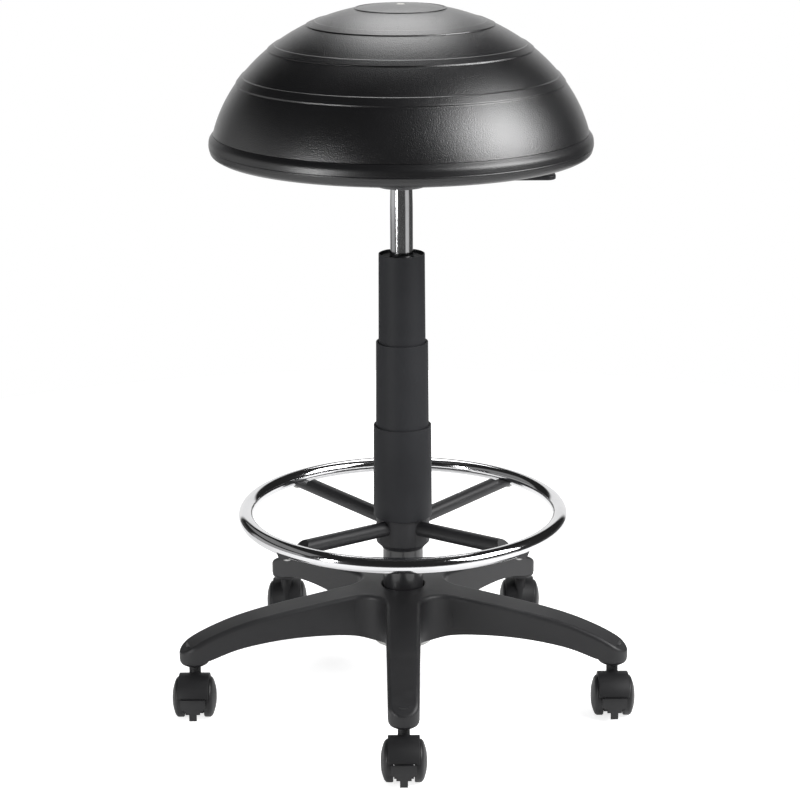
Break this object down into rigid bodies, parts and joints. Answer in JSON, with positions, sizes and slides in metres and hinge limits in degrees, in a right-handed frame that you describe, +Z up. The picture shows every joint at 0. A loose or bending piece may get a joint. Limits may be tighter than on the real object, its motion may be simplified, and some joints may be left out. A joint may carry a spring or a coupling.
{
  "type": "balance ball stool",
  "caption": "Round stool with a half ball for a seat on a telescopic gas lift, a chrome foot ring and a star base on braked twin-wheel castors.",
  "frame": {"origin": "on the column's axis at floor level, under the middle of the base", "axes": "+Z up along the column, -Y towards the front arm and the picture's camera, +X along the release lever"},
  "size_m": [0.5694, 0.5846, 0.8606],
  "materials": {
    "seat_rubber": "satin, fine pearl grain",
    "plug_plastic": "pale, smooth",
    "pan_plastic": "fine matte grain",
    "base_nylon": "fine matte grain, slight sheen",
    "cover_plastic": "smooth matte",
    "ring_chrome": "polished",
    "cylinder_chrome": "polished, fine lengthwise grain",
    "black_steel": "gloss black enamel",
    "plate_steel": "black powder coat",
    "bright_steel": "zinc plated",
    "guide_acetal": "smooth natural acetal",
    "buffer_rubber": "smooth",
    "collar_plastic": "fine matte grain",
    "spoke_steel": "black powder coat",
    "hood_nylon": "fine matte grain",
    "wheel_nylon": "smooth matte",
    "pedal_nylon": "smooth, slight sheen",
    "lever_plastic": "smooth matte"
  },
  "bodies": {
    "base": {"star_base": "base_nylon", "hub_band": "bright_steel", "stem_sockets": "bright_steel", "column_tube": "black_steel", "guide_sleeve": "guide_acetal", "bearing_race": "bright_steel", "lower_cover": "cover_plastic"},
    "lift_rod": {"piston_rod": "bright_steel", "bearing_cage": "bright_steel", "rubber_buffer": "buffer_rubber", "retaining_clip": "bright_steel"},
    "seat": {"gas_cylinder": "cylinder_chrome", "upper_cover": "cover_plastic", "taper_boss": "plate_steel", "mounting_plate": "plate_steel", "plate_bolts": "bright_steel", "seat_pan": "pan_plastic", "ball_dome": "seat_rubber", "valve_plug": "plug_plastic", "lever_pin": "bright_steel"},
    "release_lever": {"lever_rod": "bright_steel", "lever_paddle": "lever_plastic"},
    "release_button": {"release_button": "bright_steel"},
    "middle_cover": {"middle_cover": "cover_plastic"},
    "foot_ring": {"foot_ring": "ring_chrome", "foot_ring_collar": "collar_plastic", "grip_collet": "guide_acetal", "foot_ring_spokes": "spoke_steel", "ring_screws": "bright_steel"},
    "castor_1": {"castor_hood_1": "hood_nylon", "castor_stem_1": "bright_steel", "castor_axle_1": "bright_steel"},
    "wheel_left_1": {"wheel_left_1": "wheel_nylon"},
    "wheel_right_1": {"wheel_right_1": "wheel_nylon"},
    "brake_pedal_1": {"brake_pedal_1": "pedal_nylon"},
    "castor_2": {"castor_hood_2": "hood_nylon", "castor_stem_2": "bright_steel", "castor_axle_2": "bright_steel"},
    "wheel_left_2": {"wheel_left_2": "wheel_nylon"},
    "wheel_right_2": {"wheel_right_2": "wheel_nylon"},
    "brake_pedal_2": {"brake_pedal_2": "pedal_nylon"},
    "castor_3": {"castor_hood_3": "hood_nylon", "castor_stem_3": "bright_steel", "castor_axle_3": "bright_steel"},
    "wheel_left_3": {"wheel_left_3": "wheel_nylon"},
    "wheel_right_3": {"wheel_right_3": "wheel_nylon"},
    "brake_pedal_3": {"brake_pedal_3": "pedal_nylon"},
    "castor_4": {"castor_hood_4": "hood_nylon", "castor_stem_4": "bright_steel", "castor_axle_4": "bright_steel"},
    "wheel_left_4": {"wheel_left_4": "wheel_nylon"},
    "wheel_right_4": {"wheel_right_4": "wheel_nylon"},
    "brake_pedal_4": {"brake_pedal_4": "pedal_nylon"},
    "castor_5": {"castor_hood_5": "hood_nylon", "castor_stem_5": "bright_steel", "castor_axle_5": "bright_steel"},
    "wheel_left_5": {"wheel_left_5": "wheel_nylon"},
    "wheel_right_5": {"wheel_right_5": "wheel_nylon"},
    "brake_pedal_5": {"brake_pedal_5": "pedal_nylon"}
  },
  "joints": [
    {"name": "seat_swivel", "type": "hinge", "parent": "base", "child": "lift_rod", "pos_m": [0, 0, 0.072], "axis": [0, 0, 1], "continuous": true},
    {"name": "seat_lift", "type": "slide", "parent": "lift_rod", "child": "seat", "axis": [0, 0, 1], "range_m": [-0.19, 0]},
    {"name": "cover_follow", "type": "slide", "parent": "base", "child": "middle_cover", "axis": [0, 0, 1], "range_m": [-0.095, 0]},
    {"name": "foot_ring_height", "type": "slide", "parent": "base", "child": "foot_ring", "axis": [0, 0, 1], "range_m": [-0.04, 0]},
    {"name": "lever_tilt", "type": "hinge", "parent": "seat", "child": "release_lever", "pos_m": [0.024, 0, 0.664], "axis": [0, -1, 0], "range_deg": [0, 6], "stiffness_Nm_per_rad": 0.3},
    {"name": "button_press", "type": "slide", "parent": "seat", "child": "release_button", "axis": [0, 0, -1], "range_m": [0, 0.0026]},
    {"name": "castor_swivel_1", "type": "hinge", "parent": "base", "child": "castor_1", "pos_m": [0, -0.271, 0.06], "axis": [0, 0, 1], "continuous": true},
    {"name": "wheel_spin_left_1", "type": "hinge", "parent": "castor_1", "child": "wheel_left_1", "pos_m": [0, -0.286, 0.025], "axis": [1, 0, 0], "continuous": true},
    {"name": "wheel_spin_right_1", "type": "hinge", "parent": "castor_1", "child": "wheel_right_1", "pos_m": [0, -0.286, 0.025], "axis": [1, 0, 0], "continuous": true},
    {"name": "brake_press_1", "type": "hinge", "parent": "castor_1", "child": "brake_pedal_1", "pos_m": [0, -0.298, 0.0184], "axis": [1, 0, 0], "range_deg": [0, 8]},
    {"name": "castor_swivel_2", "type": "hinge", "parent": "base", "child": "castor_2", "pos_m": [0.25774, -0.08374, 0.06], "axis": [0, 0, 1], "continuous": true},
    {"name": "wheel_spin_left_2", "type": "hinge", "parent": "castor_2", "child": "wheel_left_2", "pos_m": [0.25774, -0.09874, 0.025], "axis": [1, 0, 0], "continuous": true},
    {"name": "wheel_spin_right_2", "type": "hinge", "parent": "castor_2", "child": "wheel_right_2", "pos_m": [0.25774, -0.09874, 0.025], "axis": [1, 0, 0], "continuous": true},
    {"name": "brake_press_2", "type": "hinge", "parent": "castor_2", "child": "brake_pedal_2", "pos_m": [0.25774, -0.11074, 0.0184], "axis": [1, 0, 0], "range_deg": [0, 8]},
    {"name": "castor_swivel_3", "type": "hinge", "parent": "base", "child": "castor_3", "pos_m": [0.15929, 0.21924, 0.06], "axis": [0, 0, 1], "continuous": true},
    {"name": "wheel_spin_left_3", "type": "hinge", "parent": "castor_3", "child": "wheel_left_3", "pos_m": [0.15929, 0.23424, 0.025], "axis": [1, 0, 0], "continuous": true},
    {"name": "wheel_spin_right_3", "type": "hinge", "parent": "castor_3", "child": "wheel_right_3", "pos_m": [0.15929, 0.23424, 0.025], "axis": [1, 0, 0], "continuous": true},
    {"name": "brake_press_3", "type": "hinge", "parent": "castor_3", "child": "brake_pedal_3", "pos_m": [0.15929, 0.24624, 0.0184], "axis": [-1, 0, 0], "range_deg": [0, 8]},
    {"name": "castor_swivel_4", "type": "hinge", "parent": "base", "child": "castor_4", "pos_m": [-0.15929, 0.21924, 0.06], "axis": [0, 0, 1], "continuous": true},
    {"name": "wheel_spin_left_4", "type": "hinge", "parent": "castor_4", "child": "wheel_left_4", "pos_m": [-0.15929, 0.23424, 0.025], "axis": [1, 0, 0], "continuous": true},
    {"name": "wheel_spin_right_4", "type": "hinge", "parent": "castor_4", "child": "wheel_right_4", "pos_m": [-0.15929, 0.23424, 0.025], "axis": [1, 0, 0], "continuous": true},
    {"name": "brake_press_4", "type": "hinge", "parent": "castor_4", "child": "brake_pedal_4", "pos_m": [-0.15929, 0.24624, 0.0184], "axis": [-1, 0, 0], "range_deg": [0, 8]},
    {"name": "castor_swivel_5", "type": "hinge", "parent": "base", "child": "castor_5", "pos_m": [-0.25774, -0.08374, 0.06], "axis": [0, 0, 1], "continuous": true},
    {"name": "wheel_spin_left_5", "type": "hinge", "parent": "castor_5", "child": "wheel_left_5", "pos_m": [-0.25774, -0.09874, 0.025], "axis": [1, 0, 0], "continuous": true},
    {"name": "wheel_spin_right_5", "type": "hinge", "parent": "castor_5", "child": "wheel_right_5", "pos_m": [-0.25774, -0.09874, 0.025], "axis": [1, 0, 0], "continuous": true},
    {"name": "brake_press_5", "type": "hinge", "parent": "castor_5", "child": "brake_pedal_5", "pos_m": [-0.25774, -0.11074, 0.0184], "axis": [1, 0, 0], "range_deg": [0, 8]}
  ],
  "couplings": [
    {"joint": "cover_follow", "follows": "seat_lift", "ratio": 0.5},
    {"joint": "button_press", "follows": "lever_tilt", "m_per_rad": 0.024}
  ]
}
